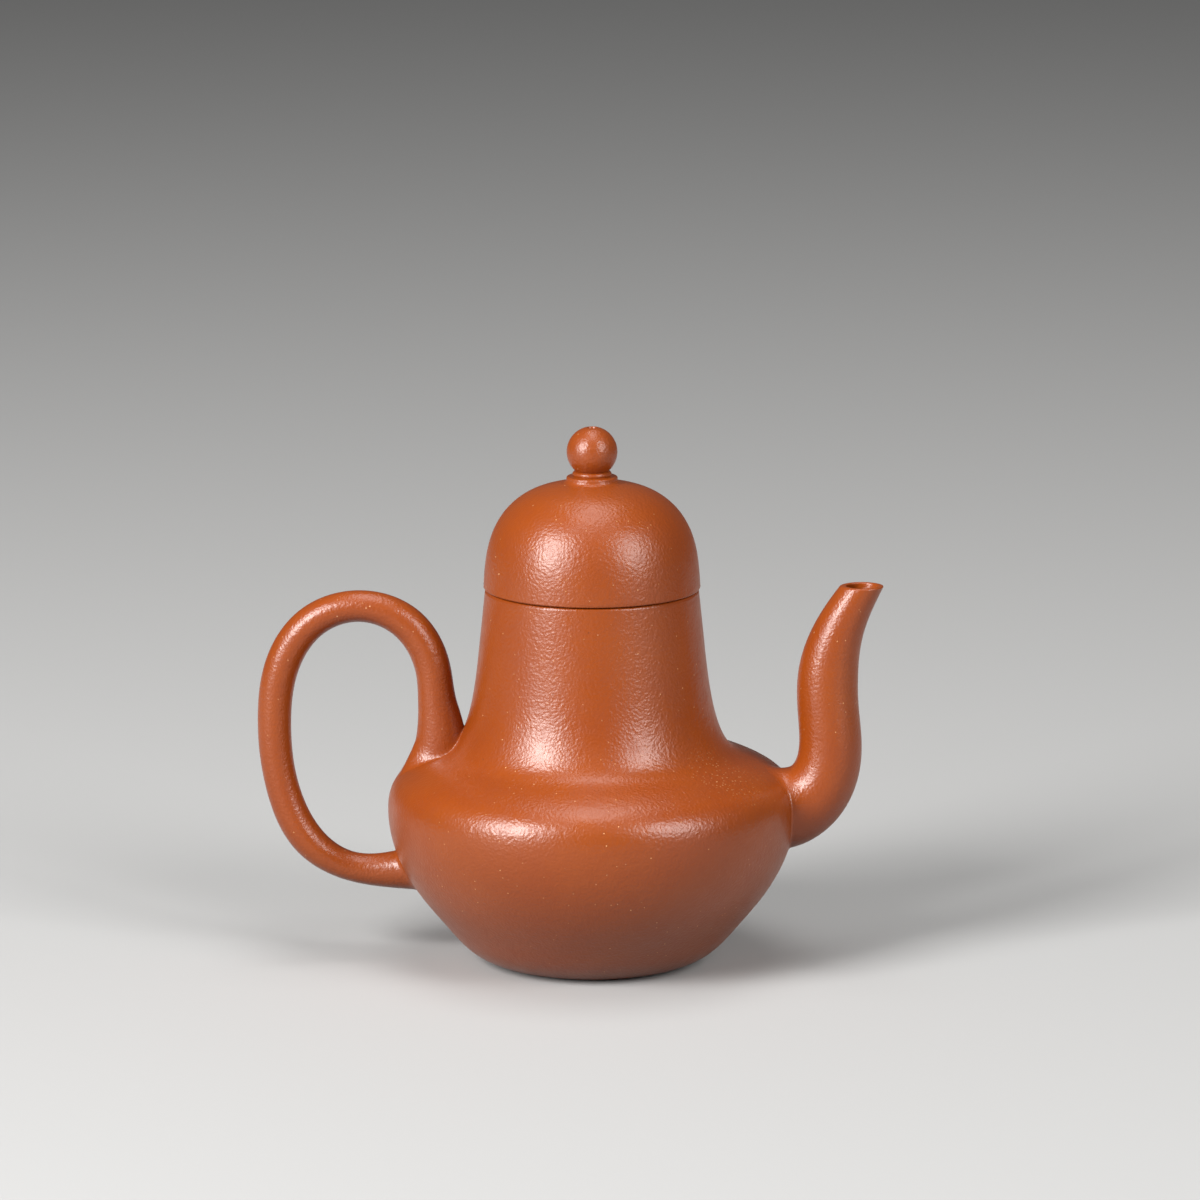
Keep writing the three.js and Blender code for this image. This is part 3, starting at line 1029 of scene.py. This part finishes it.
class TEAPOT_OT_knob(bpy.types.Operator):
    """Turn the knob and the two small steps under it"""

    bl_idname = "teapot.knob"
    bl_label = "Knob"

    def execute(self, context):
        size, _ = settings()
        hole = size["steam_hole"]
        foot_radius = COLLAR_RADIUS + COLLAR_FOOT
        foot = np.interp(foot_radius, LID_SKIN[::-1, 0], LID_SKIN[::-1, 1])
        steps = np.vstack([
            [[foot_radius, foot - 0.1]],
            [[foot_radius, foot]],
            corner([foot_radius, foot + COLLAR_FOOT], COLLAR_FOOT, 255, 195, 10),
            corner([COLLAR_RADIUS - 0.25, COLLAR_STEP - 0.25], 0.25, 0, 85, 8),
            [[COLLAR_STEP_RADIUS + 0.06, COLLAR_STEP - 0.02]],
            corner([COLLAR_STEP_RADIUS - 0.45, COLLAR_STEP + 0.45], 0.45, -50, 65, 14),
            [[hole, COLLAR_TOP - 0.1]],
            [[hole, COLLAR_BOTTOM]],
        ])
        made = make_object("collar_rings", *turn_ring(steps, KNOB_SIDES))
        soften(made, 0.0)
        fired(made, "lid", "lid_clay", "knob_collar")

        low = math.asin((COLLAR_TOP - 0.15 - KNOB_CENTRE) / KNOB_RADIUS)
        neck_radius = KNOB_RADIUS * math.cos(low)
        flat = KNOB_CENTRE + KNOB_RADIUS * math.sin(math.radians(KNOB_FLAT_ANGLE))
        ball = np.vstack([
            [[neck_radius, COLLAR_TOP - 0.3]],
            corner([0, KNOB_CENTRE], KNOB_RADIUS, math.degrees(low), KNOB_FLAT_ANGLE, 60),
            [[1.0, flat + 0.03]],
            [[hole + 0.06, flat]],
            [[hole, flat - 0.1]],
            [[hole, COLLAR_TOP - 0.3]],
        ])
        made = make_object("knob_ball", *turn_ring(ball, KNOB_SIDES))
        soften(made, 0.0)
        fired(made, "lid", "lid_clay", "knob")
        return {"FINISHED"}


def softbox(name, azimuth, elevation, size, radiance):
    """A soft light at a compass angle from the front, facing the pot, as bright all over as it says."""
    light = bpy.data.lights.new(name, "AREA")
    light.shape = "RECTANGLE"
    light.size, light.size_y = size
    light.energy = radiance * math.pi * size[0] * size[1]
    turn, lift = math.radians(azimuth), math.radians(elevation)
    way = Vector((math.sin(turn) * math.cos(lift), -math.cos(turn) * math.cos(lift), math.sin(lift)))
    made = bpy.data.objects.new(name, light)
    made.location = Vector((0, 0, POT_MIDDLE)) + way * SOFTBOX_DISTANCE
    made.rotation_euler = (-way).to_track_quat("-Z", "Y").to_euler()
    bpy.context.scene.collection.objects.link(made)


class TEAPOT_OT_stage(bpy.types.Operator):
    """Set the pale floor, the soft lights and the camera"""

    bl_idname = "teapot.stage"
    bl_label = "Stage"

    def execute(self, context):
        _, colours = settings()
        scene = context.scene
        corners = [[x * FLOOR_HALF, y * FLOOR_HALF, 0] for x, y in ((-1, -1), (1, -1), (1, 1), (-1, 1))]
        floor = make_object("floor", corners, [(0, 1, 2, 3)])
        floor.data.materials.append(floor_paper(colours))

        for name, place in SOFTBOXES.items():
            softbox(name, *place)

        scene.world = bpy.data.worlds.new("studio")
        shader = Shader(scene.world)
        air = shader.node("ShaderNodeBackground", None, {"Color": tuple(colours.air)})
        shader.node("ShaderNodeOutputWorld", None, {"Surface": air})

        lens = bpy.data.cameras.new("view")
        lens.lens = VIEW_LENS
        camera = bpy.data.objects.new("view", lens)
        level = math.cos(VIEW_PITCH)
        back = Vector((math.sin(VIEW_TURN) * level, -math.cos(VIEW_TURN) * level, math.sin(VIEW_PITCH)))
        camera.location = VIEW_TARGET + back * VIEW_DISTANCE
        camera.rotation_euler = (-back).to_track_quat("-Z", "Y").to_euler()
        scene.collection.objects.link(camera)
        scene.camera = camera
        scene.view_settings.view_transform = "Standard"
        return {"FINISHED"}


OPERATORS = (
    TEAPOT_OT_base_plate,
    TEAPOT_OT_belly,
    TEAPOT_OT_shoulder,
    TEAPOT_OT_neck,
    TEAPOT_OT_strainer,
    TEAPOT_OT_spout,
    TEAPOT_OT_handle,
    TEAPOT_OT_lid,
    TEAPOT_OT_knob,
    TEAPOT_OT_stage,
)


class TEAPOT_PT_panel(bpy.types.Panel):
    """Sizes, colours and pieces of the teapot"""

    bl_idname = "TEAPOT_PT_panel"
    bl_label = "Clay Teapot"
    bl_space_type = "VIEW_3D"
    bl_region_type = "UI"
    bl_category = "Teapot"

    def draw(self, context):
        for group, source in (("clay_sizes", ClaySizes), ("clay_colours", ClayColours)):
            for name in source.__annotations__:
                self.layout.prop(getattr(context.scene, group), name)
        for operator in OPERATORS:
            self.layout.operator(operator.bl_idname)


CLASSES = (ClaySizes, ClayColours, *OPERATORS, TEAPOT_PT_panel)


def register():
    for each in CLASSES:
        bpy.utils.register_class(each)
    bpy.types.Scene.clay_sizes = bpy.props.PointerProperty(type=ClaySizes)
    bpy.types.Scene.clay_colours = bpy.props.PointerProperty(type=ClayColours)


def unregister():
    del bpy.types.Scene.clay_colours
    del bpy.types.Scene.clay_sizes
    for each in reversed(CLASSES):
        bpy.utils.unregister_class(each)


def main():
    register()
    for operator in OPERATORS:
        group, name = operator.bl_idname.split(".")
        getattr(getattr(bpy.ops, group), name)()


if __name__ == "__main__":
    main()
